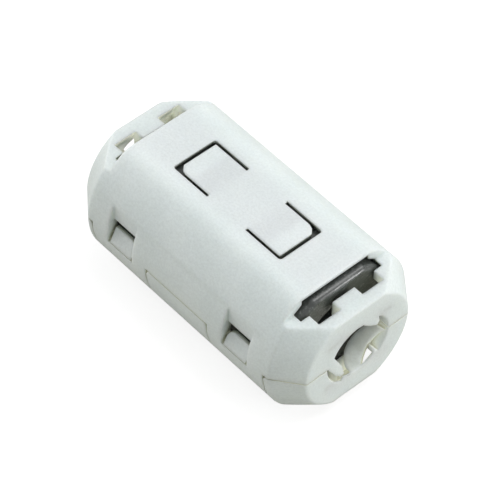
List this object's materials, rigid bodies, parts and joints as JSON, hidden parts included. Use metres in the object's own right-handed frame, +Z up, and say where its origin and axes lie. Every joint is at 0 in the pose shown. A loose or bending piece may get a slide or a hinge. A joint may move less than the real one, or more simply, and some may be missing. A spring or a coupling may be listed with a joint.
{
  "type": "clip on ferrite bead",
  "caption": "White snap shut plastic case with tapered ends that clamps split ferrite half cores round a cable to suppress interference.",
  "frame": {"origin": "middle of the flat underside, straight below the middle of the cable passage", "axes": "+X along the cable, towards the end seen in front; +Y from the latches to the hinge; +Z up"},
  "size_m": [0.035, 0.0206, 0.0167],
  "materials": {
    "shell_plastic": "satin white moulded nylon",
    "ferrite": "dark grey sintered ferrite, matt"
  },
  "bodies": {
    "base": {"lower_shell": "shell_plastic", "lower_core": "ferrite", "hinge_film": "shell_plastic"},
    "lid": {"upper_shell": "shell_plastic", "upper_core": "ferrite"}
  },
  "joints": [
    {"name": "clip_open", "type": "hinge", "parent": "base", "child": "lid", "pos_m": [0, 0.0101, 0.00835], "axis": [-1, 0, 0], "range_deg": [0, 180], "deforming": ["hinge_film"]}
  ]
}
